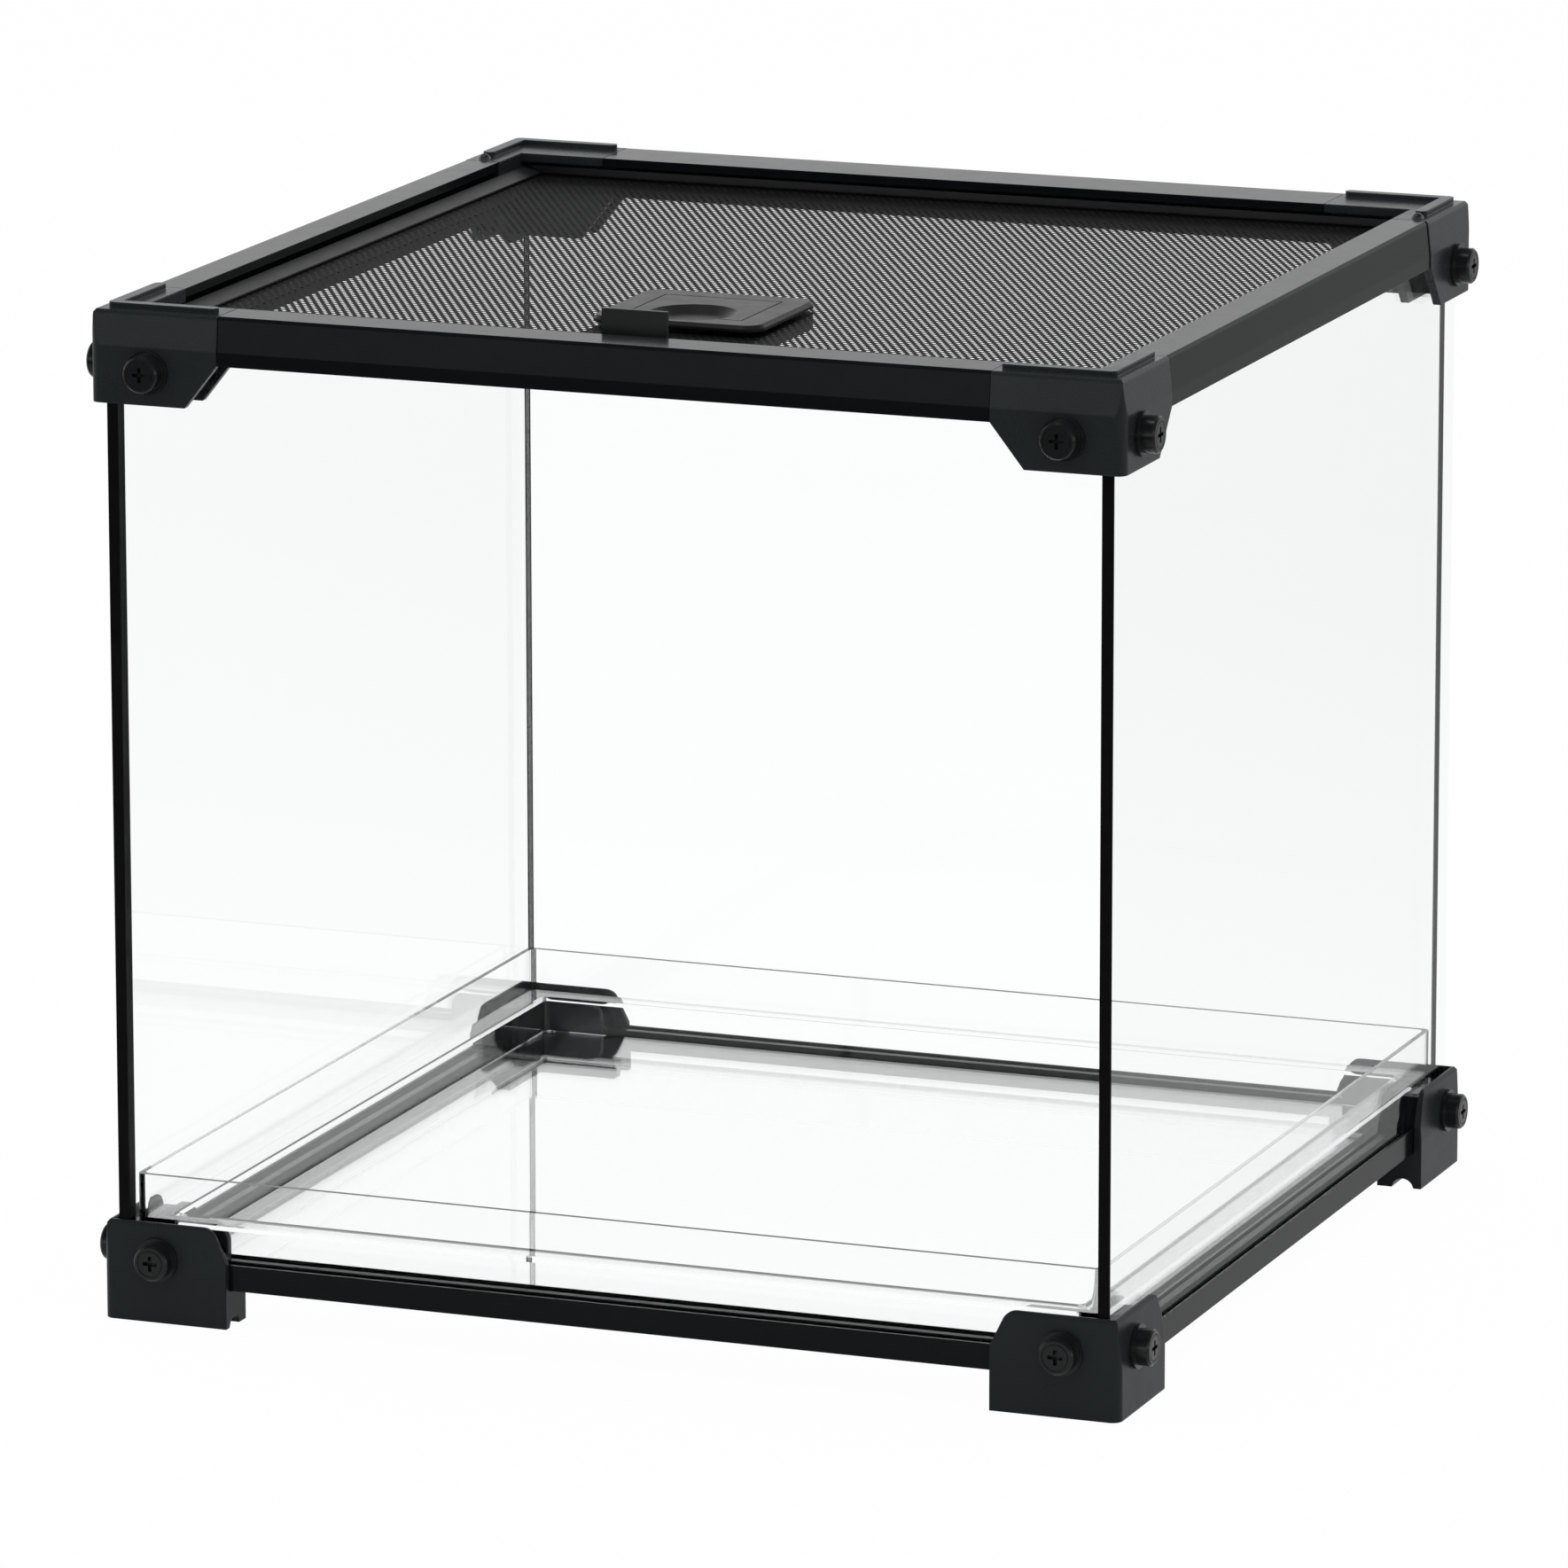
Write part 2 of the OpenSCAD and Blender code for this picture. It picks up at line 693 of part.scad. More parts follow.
// The tongue at the end of a bottom rail, which lies in the channel of a foot
module bottom_tongue(screw_x) {
    start = screw_x - nut_w / 2 - nut_wall;
    difference() {
        upright(tongue_out, foot_tongue_in)
            polygon([
                [start, bottom_rail_z], [foot_root, bottom_rail_z],
                [foot_root, glass_toe[1] - tongue_play],
                glass_toe - [tongue_play / 2, tongue_play],
                [glass_shoulder - tongue_play / 2, glass_low - tongue_play],
                [start, glass_low - tongue_play]
            ]);
        slab(foot_arm, foot_root + over, web_in, foot_tongue_in + over, 0, foot_h);
        bore(screw_x, 0, screw_rise, shank_r + fit_gap / 2, foot_arm_w);
        nut_pocket(screw_x, screw_rise, 1);
    }
}

module bottom_rail(s) {
    len = side_len(s);
    x0 = foot_arm - rail_in_foot;
    lip_in = slot_in + wall;
    color(plastic)
        on_side(s) {
            along_x(x0, len - x0) {
                translate([tongue_out, bottom_rail_z]) square([lip_in - tongue_out, slot_floor]);
                translate([tongue_out, bottom_rail_z]) square([lip_t, lip_h]);
                translate([slot_in, bottom_rail_z]) square([lip_in - slot_in, lip_h + inner_lip_up]);
                translate([slot_in, bottom_rail_z]) square([base_ledge_w - slot_in, base_ledge_t]);
            }
            at_both_ends(len) bottom_tongue(foot_screw_in(s));
        }
}

// ---- Glass and seals ----

module glass_wall(s) {
    len = side_len(s);
    x0 = is_long(s) ? front_pane_x : side_pane_y;
    color(glass)
        on_side(s)
            upright(glass_inset, glass_inset + glass_t)
                difference() {
                    translate([x0, glass_base]) square([len - 2 * x0, glass_top - glass_base]);
                    for (m = [0, 1])
                        translate([m * len, 0])
                            mirror([m, 0]) {
                                polygon([
                                    [-over, glass_high], [slant_toe[0], glass_high],
                                    [slant_heel[0], top_rail_z + hide],
                                    [top_root + fit_gap, top_rail_z + hide], [top_root + fit_gap, tank_h],
                                    [-over, tank_h]
                                ]);
                                polygon([
                                    [-over, 0], [foot_root + fit_gap, 0],
                                    [foot_root + fit_gap, glass_toe[1]], glass_toe,
                                    [glass_shoulder, glass_low], [-over, glass_low]
                                ]);
                            }
                }
}

module corner_seal(front) {
    low = glass_low + fit_gap;
    high = glass_high - fit_gap;
    color(soft_black) {
        slab(front_pane_x - seal_w, front_pane_x, side_pane_y, glass_inset + glass_t, low, high);
        if (front)
            slab(glass_inset, front_pane_x, side_pane_y - seal_cap, side_pane_y, low, high);
    }
}

module glass_gaskets() {
    wide = glass_t + 2 * gasket_t;
    high = lip_z - bottom_slot_z - fit_gap;
    end_gap = 1;
    color(soft_black)
        for (s = SIDES)
            on_side(s)
                along_x(foot_root + end_gap, side_len(s) - foot_root - end_gap)
                    translate([glass_inset - gasket_t, bottom_slot_z])
                        difference() {
                            square([wide, high]);
                            translate([gasket_t, gasket_t]) square([glass_t, high]);
                        }
}

// ---- Screws and nuts ----

module thumb_screw() {
    difference() {
        rotate_extrude()
            difference() {
                polygon([
                    [0, -shank_l], [shank_r, -shank_l], [shank_r, 0], [flange_r, 0],
                    [flange_r, flange_disc_t], [head_r, flange_disc_t], [head_r, head_h - head_bevel],
                    [head_r - head_bevel, head_h], [0, head_h]
                ]);
                translate([ring_r - ring_w / 2, head_h - ring_h]) square([ring_w, ring_h + over]);
            }
        for (a = [0, 90])
            rotate([0, 0, a])
                translate([-cross_w / 2, -cross_slot / 2, head_h - cross_depth])
                    cube([cross_w, cross_slot, cross_depth + over]);
    }
}

// Each screw place of a side, children drawn with +Z pointing out of the tank
module at_screws(s, depth) {
    on_side(s)
        at_both_ends(side_len(s))
            for (p = [[top_screw_in(s), top_screw_z], [foot_screw_in(s), screw_rise]])
                translate([p[0], depth, p[1]]) rotate([90, 0, 0]) children();
}

module thumb_screws(s) {
    color(plastic) at_screws(s, 0) thumb_screw();
}

module captive_nuts() {
    color(steel)
        for (s = SIDES)
            at_screws(s, nut_in + nut_t)
                difference() {
                    translate([-nut_w / 2, -nut_w / 2, 0]) cube([nut_w, nut_w, nut_t]);
                    translate([0, 0, -over]) cylinder(r = shank_r + fit_gap / 2, h = nut_t + 2 * over);
                }
}

// Domed screws that tie the back corners to the side rails
module roof_screws() {
    ball = (dome_r * dome_r + dome_h * dome_h) / (2 * dome_h);
    color(steel)
        for (c = ["back_left", "back_right"])
            at_corner(c)
                at_roof_screw() {
                    translate([0, 0, -roof_shank_in])
                        cylinder(r = roof_shank_r, h = roof_shank_in + roof_t + sink);
                    translate([0, 0, roof_t])
                        difference() {
                            translate([0, 0, dome_h - ball]) sphere(ball);
                            translate([-2 * ball, -2 * ball, -4 * ball]) cube(4 * ball);
                        }
                }
}

// ---- Base and tray ----

module base_panel() {
    color(glass) inset_block(base_in, base_in, base_in, base_z, base_z + glass_t);
}

// A clear basin, wide above the feet and narrower between them
module substrate_tray() {
    color(clear)
        difference() {
            union() {
                tray_block(tray_low, tray_z, tray_step_z + sink);
                tray_block(tray_high, tray_step_z, tray_rim);
            }
            tray_block(tray_low + tray_t, tray_z + tray_t, tray_rim);
            tray_block(tray_high + tray_t, tray_step_z + tray_t, tray_rim + over);
        }
}

module tray_block(inset, z0, z1) {
    translate([0, 0, z0])
        linear_extrude(z1 - z0)
            round_rect(tank_w - 2 * inset, tank_d - 2 * inset, tray_r);
}

// ---- Lid ----

module at_hinge_pins() {
    for (m = [0, 1])
        mirror([m, 0, 0])
            translate([tank_w / 2, tank_d / 2 - hinge_in, hinge_z])
                rotate([0, -90, 0])
                    children();
}

module lid_frame() {
    opening_side = lid_side + side_bar_w;
    opening_front = lid_front + front_bar_w;
    opening_rear = lid_rear + rear_bar_w;
    color(plastic)
        difference() {
            inset_block(lid_side, lid_front, lid_rear, lid_z, lid_top);
            inset_block(opening_side, opening_front, opening_rear, lid_z - over, lid_top + over);
            inset_block(lid_side + bar_wall, lid_front + bar_wall, lid_rear + rear_bar_wall,
                        lid_z - over, screen_top);
            for (m = [0, 1])
                mirror([m, 0, 0])
                    translate([-tank_w / 2, tank_d / 2 - opening_rear, 0])
                        upright(opening_front + opening_rear - tank_d, 0)
                            polygon([
                                [lid_side, lid_top], [opening_side, lid_top - bar_fall],
                                [opening_side + over, lid_top - bar_fall],
                                [opening_side + over, lid_top + over], [lid_side, lid_top + over]
                            ]);
            at_hinge_pins()
                translate([0, 0, lid_side - over])
                    cylinder(r = pin_r + pin_seat_gap, h = bar_wall + 2 * over);
            slab(-bolt_w / 2 - bolt_play, bolt_w / 2 + bolt_play, -tank_d / 2, plate_y - tank_d / 2,
                 lid_z - over, bolt_top + bolt_play);
        }
}

// Slot in which the block of the latch travels, drawn from the dish centre
module flat_block_slot() {
    r = block_r + bolt_play;
    for (y = [0, -latch_travel]) translate([0, y]) circle(r);
    translate([-r, -latch_travel]) square([2 * r, latch_travel]);
}

// Openings of the screen, which stop short of the latch housing
module flat_screen_grid() {
    open = grid_step - [screen_bar, screen_bar];
    for (i = [0 : screen_n - 1], j = [0 : screen_n - 1]) {
        x = grid_side + (i + 0.5) * grid_step[0] - tank_w / 2;
        y = grid_front + (j + 0.5) * grid_step[1];
        if (abs(x) > (housing_w + grid_step[0]) / 2 || y > housing_y + housing_d + grid_step[1] / 2)
            translate([x, y - tank_d / 2]) square(open, center = true);
    }
}

module lid_screen() {
    color(steel)
        translate([0, 0, screen_z])
            linear_extrude(screen_t)
                difference() {
                    translate([screen_side - tank_w / 2, screen_front - tank_d / 2])
                        square([tank_w - 2 * screen_side, tank_d - screen_front - screen_rear]);
                    translate([0, dish_at - tank_d / 2]) flat_block_slot();
                    translate([-tab_w / 2 - fit_gap, tab_y - fit_gap - tank_d / 2])
                        square([tab_w + 2 * fit_gap, tab_t + 2 * fit_gap]);
                    flat_screen_grid();
                }
}

module screen_retainer() {
    color(plastic)
        difference() {
            inset_block(screen_side, screen_front, screen_rear,
                        screen_z - fit_gap / 2 - retainer_h, screen_z - fit_gap / 2);
            inset_block(screen_side + retainer_w, screen_front + retainer_w, screen_rear + retainer_w,
                        lid_z, screen_top);
            slab(-housing_w / 2 - fit_gap, housing_w / 2 + fit_gap, -tank_d / 2, 0, lid_z, screen_top);
        }
}

module hinge_pins() {
    start = web_in + lid_gap;
    color(steel)
        at_hinge_pins()
            translate([0, 0, start]) cylinder(r = pin_r, h = lid_side + bar_wall - start);
}

// ---- Latch ----

// A block under the screen that guides the bolt in a channel, with room above it for the
// block of the slider and a pocket for the foot of the lifting tab
module latch_housing() {
    r = plate_r;
    color(plastic)
        difference() {
            translate([0, housing_y - tank_d / 2, housing_z])
                linear_extrude(housing_top - housing_z) {
                    translate([-housing_w / 2, 0]) square([housing_w, housing_d - r]);
                    translate([r - housing_w / 2, 0]) square([housing_w - 2 * r, housing_d]);
                    for (x = [-1, 1]) translate([x * (housing_w / 2 - r), housing_d - r]) circle(r);
                }
            slab(-bolt_w / 2 - bolt_play, bolt_w / 2 + bolt_play, housing_y - over - tank_d / 2,
                 dish_at + bolt_tail + bolt_play - tank_d / 2, channel_z, lid_top);
            translate([0, dish_at - tank_d / 2, bolt_top - bolt_play])
                linear_extrude(lid_h) flat_block_slot();
            slab(-tab_foot_x - fit_gap / 2, tab_foot_x + fit_gap / 2,
                 tab_y - tab_foot_out - fit_gap / 2 - tank_d / 2,
                 tab_y + tab_t + tab_foot_out + fit_gap / 2 - tank_d / 2, tab_foot_z, lid_top);
        }
}

// The upright tab that lifts the lid, with a wide foot over the bolt
module lift_tab() {
    y0 = tab_y - tank_d / 2;
    color(plastic) {
        slab(-tab_w / 2, tab_w / 2, y0, y0 + tab_t, tab_foot_z, lid_top + tab_h);
        slab(-tab_foot_x, tab_foot_x, y0 - tab_foot_out, y0 + tab_t + tab_foot_out,
             tab_foot_z, tab_foot_z + tab_foot_t);
    }
}

// A plate with round corners and a bevel round its top
module bevel_plate(w, d, t, r, bevel) {
    for (x = [-1, 1], y = [-1, 1])
        translate([x * (w / 2 - r), y * (d / 2 - r), 0]) {
            cylinder(r = r, h = t - bevel);
            translate([0, 0, t - bevel]) cylinder(r1 = r, r2 = r - bevel, h = bevel);
        }
    along_x(r - w / 2, w / 2 - r) bevel_section(d, t, bevel);
    rotate([0, 0, 90]) along_x(r - d / 2, d / 2 - r) bevel_section(w, t, bevel);
}

module bevel_section(w, t, bevel) {
    polygon([
        [-w / 2, 0], [w / 2, 0], [w / 2, t - bevel], [w / 2 - bevel, t],
        [bevel - w / 2, t], [-w / 2, t - bevel]
    ]);
}

// The plate with its thumb dish, inlaid line and the block that rides in the screen
module latch_slider() {
    flare = plate_z - screen_top - bolt_play;
    color(plastic)
        difference() {
            union() {
                translate([0, plate_y + plate_d / 2 - tank_d / 2, plate_z])
                    bevel_plate(plate_w, plate_d, plate_t, plate_r, plate_bevel);
                translate([0, dish_at - tank_d / 2, 0])
                    rotate_extrude()
                        polygon([
                            [0, bolt_top], [block_r, bolt_top], [block_r, plate_z - flare],
                            [block_r + dish_wall, plate_z], [block_r + dish_wall, plate_z + sink],
                            [0, plate_z + sink]
                        ]);
            }
            translate([0, plate_y + plate_d / 2 - tank_d / 2, plate_top - line_w / 2])
                linear_extrude(over)
                    difference() {
                        square([plate_w - 2 * line_margin, plate_d - 2 * line_margin], center = true);
                        square([plate_w - 2 * (line_margin + line_w), plate_d - 2 * (line_margin + line_w)],
                               center = true);
                    }
            translate([0, dish_at - tank_d / 2, 0])
                rotate_extrude()
                    polygon([
                        [0, plate_top - dish_h], [dish_floor_r, plate_top - dish_h],
                        [dish_r, plate_top], [dish_r, plate_top + over], [0, plate_top + over]
                    ]);
        }
}

module latch_bolt() {
    color(plastic)
        slab(-bolt_w / 2, bolt_w / 2, bolt_y - tank_d / 2, dish_at + bolt_tail - tank_d / 2,
             bolt_z, bolt_top);
}

for (c = CORNERS) {
    rear = c == "back_left" || c == "back_right";
    at_corner(c) top_corner(rear);
    at_corner(c) foot();
    at_corner(c) corner_seal(!rear);
}
for (s = SIDES) {
    top_rail(s);
    bottom_rail(s);
    glass_wall(s);
    thumb_screws(s);
}
glass_gaskets();
captive_nuts();
roof_screws();
base_panel();
substrate_tray();
lid_frame();
lid_screen();
screen_retainer();
hinge_pins();
latch_housing();
lift_tab();
latch_slider();
latch_bolt();
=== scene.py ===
import bpy
import bmesh
import math
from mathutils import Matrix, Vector


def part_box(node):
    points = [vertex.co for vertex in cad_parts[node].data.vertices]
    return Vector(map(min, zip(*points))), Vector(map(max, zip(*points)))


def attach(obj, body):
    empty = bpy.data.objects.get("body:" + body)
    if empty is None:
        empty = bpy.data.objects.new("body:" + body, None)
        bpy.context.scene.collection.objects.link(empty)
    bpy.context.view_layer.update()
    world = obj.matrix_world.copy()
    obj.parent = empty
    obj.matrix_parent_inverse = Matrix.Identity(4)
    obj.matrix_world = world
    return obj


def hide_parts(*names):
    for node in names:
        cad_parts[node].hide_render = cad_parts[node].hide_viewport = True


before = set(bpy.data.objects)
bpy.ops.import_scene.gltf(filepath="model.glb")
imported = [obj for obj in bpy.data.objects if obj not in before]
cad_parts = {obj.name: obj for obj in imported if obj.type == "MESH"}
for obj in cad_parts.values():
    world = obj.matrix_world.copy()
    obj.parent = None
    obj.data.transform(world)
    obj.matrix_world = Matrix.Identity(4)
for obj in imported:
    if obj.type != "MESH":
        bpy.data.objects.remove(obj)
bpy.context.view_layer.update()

# ---------------------------------------------------------------- the view
# The tank stands on a table and is seen from its front right corner, a little from above,
# through a long lens.
SENSOR_WIDTH = 36.0
LENS_LENGTH = 252.4
EYE_PLACE = (1.1332, -2.9312, 0.8509)
EYE_TILT, EYE_ROLL, EYE_TURN = 77.204, 0.076, 21.202
SIGHT_REACH = 50.0

camera = bpy.data.cameras.new("camera")
camera.sensor_width = SENSOR_WIDTH
camera.lens = LENS_LENGTH
camera.clip_end = SIGHT_REACH
camera_object = bpy.data.objects.new("camera", camera)
camera_object.location = EYE_PLACE
camera_object.rotation_euler = [math.radians(angle) for angle in (EYE_TILT, EYE_ROLL, EYE_TURN)]
bpy.context.collection.objects.link(camera_object)
bpy.context.scene.camera = camera_object
bpy.context.scene.view_settings.view_transform = "Standard"


# ---------------------------------------------------------------- frame plastic
# Corner pieces, feet and rails are injection moulded in a near-black plastic with a fine
# spark-eroded grain. They slot together and the thumb screws clamp them on the glass.
class Signal:
    """One output of a node, with arithmetic that adds Math nodes."""

    def __init__(self, finish, socket):
        self.finish = finish
        self.socket = socket

    def _math(self, operation, *values):
        return self.finish.add("ShaderNodeMath", {"operation": operation}, dict(enumerate(values)))

    def __add__(self, other):
        return self._math("ADD", self, other)

    def __radd__(self, other):
        return self._math("ADD", other, self)

    def __sub__(self, other):
        return self._math("SUBTRACT", self, other)

    def __rsub__(self, other):
        return self._math("SUBTRACT", other, self)

    def __mul__(self, other):
        return self._math("MULTIPLY", self, other)

    def __rmul__(self, other):
        return self._math("MULTIPLY", other, self)

    def __pow__(self, other):
        return self._math("POWER", self, other)


class Finish:
    """The node tree of a material or a room. add() makes any node and returns one output."""

    def __init__(self, name, room=None):
        self.material = room or bpy.data.materials.new(name)
        self.material.use_nodes = True
        self.tree = self.material.node_tree
        self.tree.nodes.clear()

    def add(self, kind, settings=None, inputs=None, output=0):
        node = self.tree.nodes.new(kind)
        for key, value in (settings or {}).items():
            setattr(node, key, value)
        for key, value in (inputs or {}).items():
            if isinstance(value, Signal):
                self.tree.links.new(value.socket, node.inputs[key])
            else:
                node.inputs[key].default_value = value
        return Signal(self, node.outputs[output]) if len(node.outputs) else node

    def place(self):
        return self.add("ShaderNodeTexCoord", output="Object")

    def noise(self, scale, detail=2.0, roughness=0.5):
        return self.add("ShaderNodeTexNoise", {}, {
            "Vector": self.place(), "Scale": scale, "Detail": detail, "Roughness": roughness})

    def blend(self, amount, low, high):
        return self.add("ShaderNodeMix", {"data_type": "RGBA"}, {0: amount, 6: low, 7: high}, output=2)

    def show(self, shader):
        self.add("ShaderNodeOutputMaterial", {}, {"Surface": shader})
        return self.material


def moulded_plastic(name, dark, pale, gloss, grain, edge, shine=0.4):
    """Black plastic with a fine grain, a faint cloudiness and softened edges."""
    finish = Finish(name)
    cloud = finish.noise(22.0, 3.0)
    speckle = finish.noise(2600.0, 2.0)
    scuffs = finish.noise(140.0, 5.0, 0.65)
    colour = finish.blend(cloud * 0.6 + speckle * 0.4, dark, pale)
    rough = gloss + (scuffs - 0.5) * 0.16 + (speckle - 0.5) * 0.1
    soft_edge = finish.add("ShaderNodeBevel", {"samples": 4}, {"Radius": edge})
    bump = finish.add("ShaderNodeBump", {}, {
        "Strength": grain, "Distance": 0.00004, "Height": speckle, "Normal": soft_edge})
    return finish.show(finish.add("ShaderNodeBsdfPrincipled", {}, {
        "Base Color": colour, "Roughness": rough, "Normal": bump, "Specular IOR Level": shine}))


def dress(node, material):
    """Gives a CAD node a finish in place of its plain one."""
    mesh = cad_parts[node].data
    mesh.materials.clear()
    mesh.materials.append(material)


CORNERS = ("front_left", "front_right", "back_left", "back_right")
SIDES = ("front", "right", "back", "left")

# The corner pieces and the feet are the same plastic. The corner pieces get more shine than the feet as a
# painted sheen, standing in for the light that falls on their slopes.
corner_plastic = moulded_plastic(
    "corner_plastic", (0.0135, 0.0165, 0.018, 1), (0.0205, 0.024, 0.0265, 1), 0.28, 0.4, 0.0008, 0.15)
foot_plastic = moulded_plastic(
    "foot_plastic", (0.0142, 0.0172, 0.019, 1), (0.0215, 0.0252, 0.0278, 1), 0.3, 0.4, 0.0009, 0.075)
for corner in CORNERS:
    dress("top_corner_" + corner, corner_plastic)
    dress("foot_" + corner, foot_plastic)
rail_plastic = moulded_plastic(
    "rail_plastic", (0.0044, 0.005, 0.0056, 1), (0.0075, 0.0088, 0.0094, 1), 0.16, 0.15, 0.0003, 0.07)
for side in SIDES:
    dress("top_rail_" + side, rail_plastic)
    dress("bottom_rail_" + side, rail_plastic)


# ---------------------------------------------------------------- thumb screws
# Sixteen moulded thumb screws with a flange, a ring in the face and a cross recess. Each
# one draws a rail tongue tight against its corner piece.
screw_plastic = moulded_plastic(
    "screw_plastic", (0.006, 0.0065, 0.007, 1), (0.012, 0.0125, 0.0135, 1), 0.22, 0.15, 0.00025, 0.22)
for side in SIDES:
    dress("thumb_screws_" + side, screw_plastic)


def metal(name, colour, pale, rough):
    """Turned or plated metal with fine streaks."""
    finish = Finish(name)
    streak = finish.noise(900.0, 3.0, 0.6)
    return finish.show(finish.add("ShaderNodeBsdfPrincipled", {}, {
        "Base Color": finish.blend(streak, colour, pale), "Metallic": 1.0,
        "Roughness": rough + (streak - 0.5) * 0.2}))


zinc = metal("zinc_plate", (0.42, 0.43, 0.44, 1), (0.62, 0.62, 0.61, 1), 0.32)
dress("captive_nuts", zinc)
dress("hinge_pins", zinc)
dress("roof_screws", metal("blackened_steel", (0.09, 0.09, 0.1, 1), (0.16, 0.16, 0.17, 1), 0.35))


# ---------------------------------------------------------------- glass
# Four panes of 3 mm float glass and the base panel. They stand in the slots of the bottom
# rails and are held by the top rails.
SMEAR_SCALE, SMEAR_DETAIL = 9.0, 3.0
GLANCE = 5.0
HEAD_ON = 0.005
GLASS_BEND, PLASTIC_BEND = 1.5, 1.49


def clear_sheet(name, tint, shine):
    """A thin clear sheet that lets light straight through and mirrors the room at low angles."""
    finish = Finish(name)
    smear = finish.noise(SMEAR_SCALE, SMEAR_DETAIL)
    tilt = finish.add("ShaderNodeLayerWeight", {}, {"Blend": 0.5}, output="Facing")
    mirror = (tilt ** GLANCE + HEAD_ON) * shine
    gloss = finish.add("ShaderNodeBsdfPrincipled", {}, {
        "Base Color": (0.95, 0.96, 0.96, 1), "Roughness": smear * 0.02, "Metallic": 1.0})
    through = finish.add("ShaderNodeBsdfTransparent", {}, {"Color": tint})
    return finish.show(finish.add("ShaderNodeMixShader", {}, {0: mirror, 1: through, 2: gloss}))


def clear_solid(name, tint, bend, shine):
    """A clear solid that bends the light on its way through."""
    finish = Finish(name)
    smear = finish.noise(SMEAR_SCALE, SMEAR_DETAIL)
    return finish.show(finish.add("ShaderNodeBsdfPrincipled", {}, {
        "Base Color": finish.blend(smear, tint, (1, 1, 1, 1)), "Roughness": 0.0,
        "IOR": bend, "Transmission Weight": 1.0, "Specular Tint": (shine, shine, shine, 1)}))


pane_glass = clear_sheet("pane_glass", (0.996, 0.998, 0.998, 1), 0.65)
for side in SIDES:
    dress("glass_wall_" + side, pane_glass)

# The tray stands on the base panel with a film of air between them, and the panel's sharp
# edges are ground off.
AIR_FILM = 0.00002
ARRIS = 0.0004


def ground_plate(name, low, high, arris):
    """A flat plate with its sharp edges ground off."""
    plate = bmesh.new()
    rings = []
    for z, inset in ((low.z, arris), (low.z + arris, 0), (high.z - arris, 0), (high.z, arris)):
        rings.append([plate.verts.new(corner) for corner in (
            (low.x + inset, low.y + inset, z), (high.x - inset, low.y + inset, z),
            (high.x - inset, high.y - inset, z), (low.x + inset, high.y - inset, z))])
    for under, upper in zip(rings, rings[1:]):
        for k in range(4):
            plate.faces.new((under[k - 1], under[k], upper[k], upper[k - 1]))
    plate.faces.new(rings[0][::-1])
    plate.faces.new(rings[-1])
    mesh = bpy.data.meshes.new(name)
    plate.to_mesh(mesh)
    plate.free()
    made = bpy.data.objects.new(name, mesh)
    bpy.context.collection.objects.link(made)
    return made


base_low, base_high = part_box("base_panel")
base = ground_plate("base_glass", base_low, base_high - Vector((0, 0, AIR_FILM)), ARRIS)
base.data.materials.append(clear_solid("base_glass", (0.99, 0.996, 0.995, 1), GLASS_BEND, 0.4))
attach(base, "tank")
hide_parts("base_panel")


# ---------------------------------------------------------------- seals
# Soft black silicone between the panes and over the front edges of the side panes, and a
# thin channel gasket under each pane.
def silicone(name, colour, pale, rough):
    """Cured silicone, slightly uneven along its length."""
    finish = Finish(name)
    ripple = finish.noise(260.0, 2.0)
    bump = finish.add("ShaderNodeBump", {}, {"Strength": 0.1, "Distance": 0.0003, "Height": ripple})
    return finish.show(finish.add("ShaderNodeBsdfPrincipled", {}, {
        "Base Color": finish.blend(ripple, colour, pale), "Roughness": rough + (ripple - 0.5) * 0.2,
        "Specular IOR Level": 0.04, "Normal": bump}))


black_silicone = silicone("black_silicone", (0.002, 0.002, 0.0022, 1), (0.005, 0.005, 0.0055, 1), 0.4)
for corner in CORNERS:
    dress("corner_seal_" + corner, black_silicone)
dress("glass_gaskets", black_silicone)


# ---------------------------------------------------------------- tray
# A clear moulded basin for soil and moss. It stands on the base panel, and its wide upper
# part passes over the inner walls of the feet.
dress("substrate_tray", clear_solid("tray_plastic", (0.99, 0.995, 0.996, 1), PLASTIC_BEND, 0.4))


# ---------------------------------------------------------------- lid
# A black moulded frame on two hinge pins. Its side bars slope down to the screen, which a
# second frame holds from below.
lid_plastic = moulded_plastic(
    "lid_plastic", (0.007, 0.0075, 0.008, 1), (0.0125, 0.013, 0.014, 1), 0.4, 0.5, 0.00025)
for node in ("lid_frame", "screen_retainer", "latch_housing", "lift_tab"):
    dress(node, lid_plastic)


# ---------------------------------------------------------------- screen
# Black coated steel sheet with rows of small six-sided openings, so that air and light get
# in and insects stay inside. Openings stop short of the bars, the lift tab and the latch.
OPENING_PITCH = 0.00258
OPENING_ROW = OPENING_PITCH * math.sqrt(3) / 2
OPENING_BAR = 0.00145


def hexagon(centre_x, centre_y, across):
    """Six corners with flat sides facing the neighbours to the left and right."""
    radius = across / math.sqrt(3)
    return [(centre_x + radius * math.cos(math.radians(30 + 60 * k)),
             centre_y + radius * math.sin(math.radians(30 + 60 * k))) for k in range(6)]


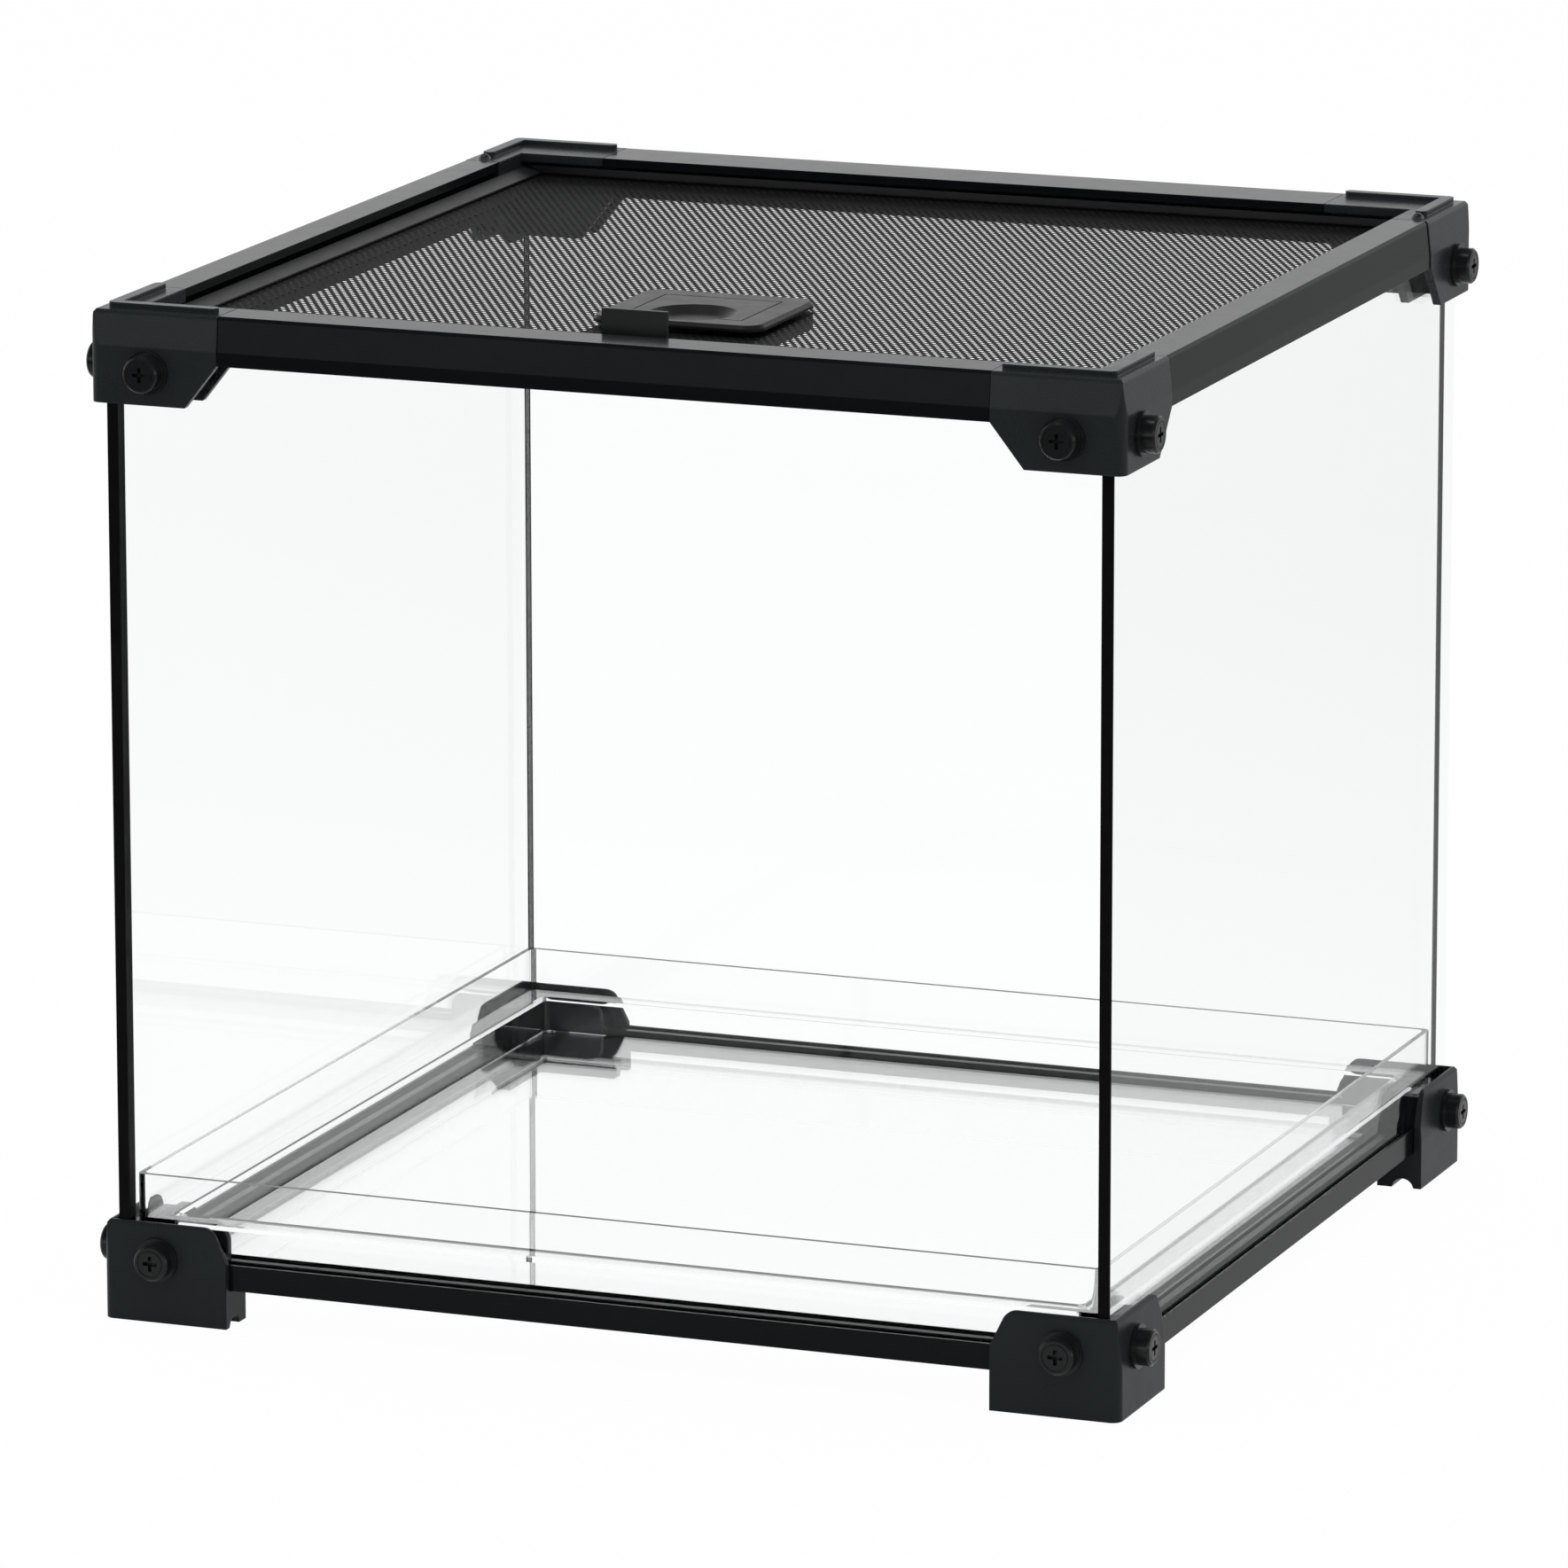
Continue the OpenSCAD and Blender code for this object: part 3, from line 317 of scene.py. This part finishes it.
def perforated_sheet(low, high, slot, solid):
    """A flat sheet of six-sided rings that share their outer corners, cut out along a slot."""
    sheet = bmesh.new()
    corners = {}
    z = (low.z + high.z) / 2

    def shared(x, y):
        key = (round(x * 1e5), round(y * 1e5))
        if key not in corners:
            corners[key] = sheet.verts.new((*slot.clear(x, y), z))
        return corners[key]

    rows = int((high.y - low.y) / OPENING_ROW)
    for row in range(rows):
        y = low.y + (row + 0.5) * OPENING_ROW
        start = low.x + OPENING_PITCH * (0.5 if row % 2 else 1.0)
        for column in range(int((high.x - start) / OPENING_PITCH)):
            x = start + column * OPENING_PITCH
            if slot.reach(x, y) < 0:
                continue
            outer = [shared(*p) for p in hexagon(x, y, OPENING_PITCH)]
            if solid(x, y) or slot.reach(x, y) < OPENING_PITCH:
                sheet.faces.new(outer)
            else:
                inner = [sheet.verts.new((*p, z)) for p in hexagon(x, y, OPENING_PITCH - OPENING_BAR)]
                for k in range(6):
                    sheet.faces.new((outer[k - 1], outer[k], inner[k], inner[k - 1]))
    mesh = bpy.data.meshes.new("perforated_screen")
    sheet.to_mesh(mesh)
    sheet.free()
    return mesh


class Slot:
    """A slot with round ends along Y, in which the block of the latch travels."""

    def __init__(self, rear, front, radius):
        self.rear, self.front, self.radius = rear, front, radius

    def reach(self, x, y):
        """How far a point lies outside the slot."""
        return math.hypot(x, y - min(max(y, self.front), self.rear)) - self.radius

    def clear(self, x, y):
        """A point moved out to the rim where it lies inside the slot."""
        centre = min(max(y, self.front), self.rear)
        away = math.hypot(x, y - centre)
        if away >= self.radius:
            return x, y
        return x * self.radius / away, centre + (y - centre) * self.radius / away


screen_low, screen_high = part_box("lid_screen")
plate_low, plate_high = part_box("latch_slider")
tab_low, tab_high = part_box("lift_tab")
DISH_INSET = 0.0155
BLOCK_RADIUS = 0.0112
LATCH_TRAVEL = 0.0042
TAB_REACH, TAB_MARGIN = 0.0118, 0.001
block_y = plate_low.y + DISH_INSET
slot = Slot(block_y, block_y - LATCH_TRAVEL, BLOCK_RADIUS)


def by_the_tab(x, y):
    """Whether a point of the screen is under the tab, where the sheet has no openings."""
    return abs(x) < TAB_REACH and tab_low.y - TAB_MARGIN < y < tab_high.y + TAB_MARGIN


screen = bpy.data.objects.new("perforated_screen", perforated_sheet(
    screen_low, screen_high, slot, by_the_tab))
bpy.context.collection.objects.link(screen)
coated = Finish("coated_screen")
coat_grain = coated.noise(1800.0, 2.0)
screen.data.materials.append(coated.show(coated.add("ShaderNodeBsdfPrincipled", {}, {
    "Base Color": coated.blend(coat_grain, (0.003, 0.003, 0.0033, 1), (0.007, 0.007, 0.0075, 1)),
    "Roughness": 0.6 + (coat_grain - 0.5) * 0.2, "Specular IOR Level": 0.08})))
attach(screen, "lid")
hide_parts("lid_screen")


# ---------------------------------------------------------------- latch
# A flat plate with a thumb dish and an inlaid line slides over the screen, and drives a
# bolt under it.
latch_plastic = moulded_plastic(
    "latch_plastic", (0.0085, 0.0085, 0.009, 1), (0.015, 0.015, 0.016, 1), 0.36, 0.35, 0.0003, 0.17)
dress("latch_slider", latch_plastic)
dress("latch_bolt", latch_plastic)


# ---------------------------------------------------------------- studio
# A pale table that runs on into the distance, with a painted pool of light that shows in reflections, and
# soft lamps above it.
def sheet_object(name, corners):
    mesh = bpy.data.meshes.new(name)
    mesh.from_pydata(corners, [], [tuple(range(len(corners)))])
    made = bpy.data.objects.new(name, mesh)
    bpy.context.collection.objects.link(made)
    return made


REACH = 12.0
FRONT_EDGE = -0.75
# In reflections the table glows with a painted pool of light: bright near the tank, dimmer further out.
PAINTED_POOL_START, PAINTED_POOL_END = 0.25, 1.0
PAINTED_POOL_NEAR, PAINTED_POOL_FAR = 0.85, 0.6
SEEN_GLOW = 0.98
floor = sheet_object("table_top", [
    (-REACH, FRONT_EDGE, 0), (REACH, FRONT_EDGE, 0), (REACH, REACH, 0), (-REACH, REACH, 0)])
table = Finish("table_top")
paper = table.blend(table.noise(30.0), (0.78, 0.78, 0.78, 1), (0.8, 0.8, 0.8, 1))
matt = table.add("ShaderNodeBsdfDiffuse", {}, {"Color": paper})
away = table.add("ShaderNodeVectorMath", {"operation": "LENGTH"}, {0: table.place()}, output="Value")
# The painted pool of light, seen only where the table shows in reflections.
painted_pool = table.add("ShaderNodeMapRange", {}, {
    "Value": away, "From Min": PAINTED_POOL_START, "From Max": PAINTED_POOL_END,
    "To Min": PAINTED_POOL_NEAR, "To Max": PAINTED_POOL_FAR})
mirrored = table.add("ShaderNodeLightPath", output="Is Glossy Ray")
seen = table.add("ShaderNodeLightPath", output="Is Camera Ray")
straight = table.add("ShaderNodeLightPath", output="Is Transmission Ray")
# The glow is plain white for camera and straight-through rays, and the painted pool of light for
# reflections.
glow = table.add("ShaderNodeEmission", {}, {
    "Color": (1, 1, 1, 1), "Strength": 1.0 - mirrored * (1.0 - straight) * (1.0 - painted_pool)})
floor.data.materials.append(table.show(table.add("ShaderNodeMixShader", {}, {
    0: seen * SEEN_GLOW + mirrored + straight, 1: matt, 2: glow})))

# The room is bright behind the table up to a little over eye level, dark overhead and
# below the table's front edge, and has a low soft box on the camera's side.
BACK_X, BACK_Y = -0.36, 0.93
BOX_LIGHT, BOX_HIGH = 2.2, 0.16
UNDER_TABLE, OVERHEAD = 0.05, 0.12
FILL_LIGHT = 0.55
room = Finish("room", bpy.data.worlds.new("room"))
bpy.context.scene.world = room.material
direction = room.add("ShaderNodeSeparateXYZ", {}, {0: room.add("ShaderNodeTexCoord", output="Generated")})
toward_x, toward_y, upward = (Signal(room, socket) for socket in direction.socket.node.outputs)


def fade(value, start, end, first, last):
    """A straight change from first to last while a value goes from start to end."""
    return value.finish.add("ShaderNodeMapRange", {}, {
        "Value": value, "From Min": start, "From Max": end, "To Min": first, "To Max": last})


behind = fade(toward_x * BACK_X + toward_y * BACK_Y, -0.3, 0.4, 0.0, 1.0)
soft_box = fade(upward, -0.04, 0.03, UNDER_TABLE, BOX_LIGHT) * fade(upward, 0.1, 0.3, 1.0, BOX_HIGH)
mirrored_room = (soft_box + (1.0 - soft_box) * behind) * fade(upward, 0.35, 0.75, 1.0, OVERHEAD)
seen = room.add("ShaderNodeLightPath", output="Is Camera Ray")
straight = room.add("ShaderNodeLightPath", output="Is Transmission Ray")
mirrored = room.add("ShaderNodeLightPath", output="Is Glossy Ray") * (1.0 - straight)
strength = seen + straight + mirrored * mirrored_room + (1.0 - seen - straight - mirrored) * FILL_LIGHT
room.add("ShaderNodeOutputWorld", {}, {"Surface": room.add("ShaderNodeBackground", {}, {
    "Color": (1, 1, 1, 1), "Strength": strength})})


def soft_lamp(name, place, aim, width, height, power, mirrored_too):
    lamp = bpy.data.lights.new(name, "AREA")
    lamp.shape = "RECTANGLE"
    lamp.size = width
    lamp.size_y = height
    lamp.energy = power
    made = bpy.data.objects.new(name, lamp)
    made.location = place
    made.rotation_euler = (Vector(aim) - Vector(place)).to_track_quat("-Z", "Y").to_euler()
    made.visible_glossy = mirrored_too
    bpy.context.collection.objects.link(made)


soft_lamp("sky_panel", (0.0, 0.3, 2.6), (0, 0, 0.2), 2.4, 2.4, 50, False)
soft_lamp("spark_panel", (-0.5, -0.2, 2.4), (0, 0, 0.3), 0.5, 0.5, 3, True)
